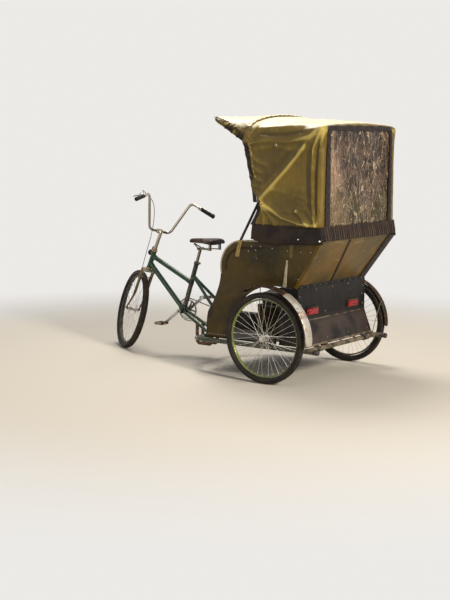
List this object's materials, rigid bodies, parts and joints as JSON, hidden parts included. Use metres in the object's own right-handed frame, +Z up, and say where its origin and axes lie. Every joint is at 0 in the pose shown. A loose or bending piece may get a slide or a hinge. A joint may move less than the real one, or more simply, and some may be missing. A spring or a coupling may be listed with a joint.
{
  "type": "cycle rickshaw",
  "caption": "Pedal-driven three-wheeler: a bicycle front end that pulls a hooded bench for two passengers over a pair of rear wheels.",
  "frame": {"origin": "on the ground, centre of the bounding box's base", "axes": "+Z up, +Y towards the back along the longest side, +X towards the rider's left"},
  "size_m": [1.27, 2.5095, 1.935],
  "materials": {
    "frame_green": "gloss paint, worn",
    "steel": "satin",
    "chrome": "polished",
    "alloy": "satin",
    "tyre": "dull",
    "rim_green": "anodised lime green",
    "rim_dark": "dark anodised",
    "rubber": "matt",
    "plastic": "matt",
    "saddle_brown": "worn",
    "cab_olive": "gold-olive gel coat",
    "charcoal": "charcoal paint",
    "floor": "dark paint, scuffed",
    "lamp_red": "clear red",
    "seat_vinyl": "dark padded vinyl",
    "guard_silver": "silver, rusted at the edges",
    "hood_vinyl": "coated yellow-green cloth",
    "clear_vinyl": "crinkled clear sheet",
    "skirt_dark": "dark coated cloth"
  },
  "bodies": {
    "chassis": {"back_cushion": "seat_vinyl", "cab_frame": "frame_green", "floor_board": "floor", "front_chain": "steel", "front_frame": "frame_green", "headset_lower": "chrome", "headset_upper": "chrome", "hood": "hood_vinyl", "hood_bow_front": "steel", "hood_bow_middle": "steel", "hood_bow_rear": "steel", "hood_rear": "hood_vinyl", "jackshaft": "steel", "mudguard_left": "guard_silver", "mudguard_right": "guard_silver", "rail_cap_left": "plastic", "rail_cap_right": "plastic", "rear_chain": "steel", "rear_panel": "cab_olive", "rear_window": "clear_vinyl", "saddle": "saddle_brown", "seat_board": "floor", "seat_cushion": "seat_vinyl", "seat_post": "steel", "seat_riser": "cab_olive", "side_wing_left": "cab_olive", "side_wing_right": "cab_olive", "skirt_band": "skirt_dark", "storage_box": "charcoal", "tail_light_left": "lamp_red", "tail_light_right": "lamp_red", "visor": "hood_vinyl"},
    "steering": {"fork": "frame_green", "front_axle": "steel", "stem": "chrome", "handlebar": "chrome", "grip_left": "rubber", "grip_right": "rubber", "lever_left": "chrome", "lever_right": "chrome", "brake_arm_left": "alloy", "brake_arm_right": "alloy", "front_brake_cable": "rubber"},
    "front_wheel_body": {"front_wheel": "rim_dark", "front_tyre": "tyre"},
    "rear_wheel_left_body": {"rear_wheel_left": "rim_green", "rear_tyre_left": "tyre"},
    "rear_wheel_right_body": {"rear_wheel_right": "rim_green", "rear_tyre_right": "tyre"},
    "crank": {"crankset": "alloy"},
    "pedal_left_body": {"pedal_left": "rubber"},
    "pedal_right_body": {"pedal_right": "rubber"}
  },
  "joints": [
    {"name": "steering_turn", "type": "hinge", "parent": "chassis", "child": "steering", "pos_m": [0, -0.75679, 0.7], "axis": [0, 0.3907, 0.9205], "range_deg": [-14, 86]},
    {"name": "front_wheel_spin", "type": "hinge", "parent": "steering", "child": "front_wheel_body", "pos_m": [-0.03527, -0.9672, 0.32853], "axis": [0.809, -0.5411, 0.2297], "continuous": true},
    {"name": "rear_wheel_left_spin", "type": "hinge", "parent": "chassis", "child": "rear_wheel_left_body", "pos_m": [0.59, 0.8058, 0.335], "axis": [1, 0, 0], "continuous": true},
    {"name": "rear_wheel_right_spin", "type": "hinge", "parent": "chassis", "child": "rear_wheel_right_body", "pos_m": [-0.59, 0.8058, 0.335], "axis": [1, 0, 0], "continuous": true},
    {"name": "crank_spin", "type": "hinge", "parent": "chassis", "child": "crank", "pos_m": [0, -0.3892, 0.372], "axis": [1, 0, 0], "continuous": true},
    {"name": "pedal_left_spin", "type": "hinge", "parent": "crank", "child": "pedal_left_body", "pos_m": [0.12, -0.52159, 0.26857], "axis": [1, 0, 0], "continuous": true},
    {"name": "pedal_right_spin", "type": "hinge", "parent": "crank", "child": "pedal_right_body", "pos_m": [-0.12, -0.25681, 0.47543], "axis": [1, 0, 0], "continuous": true}
  ]
}
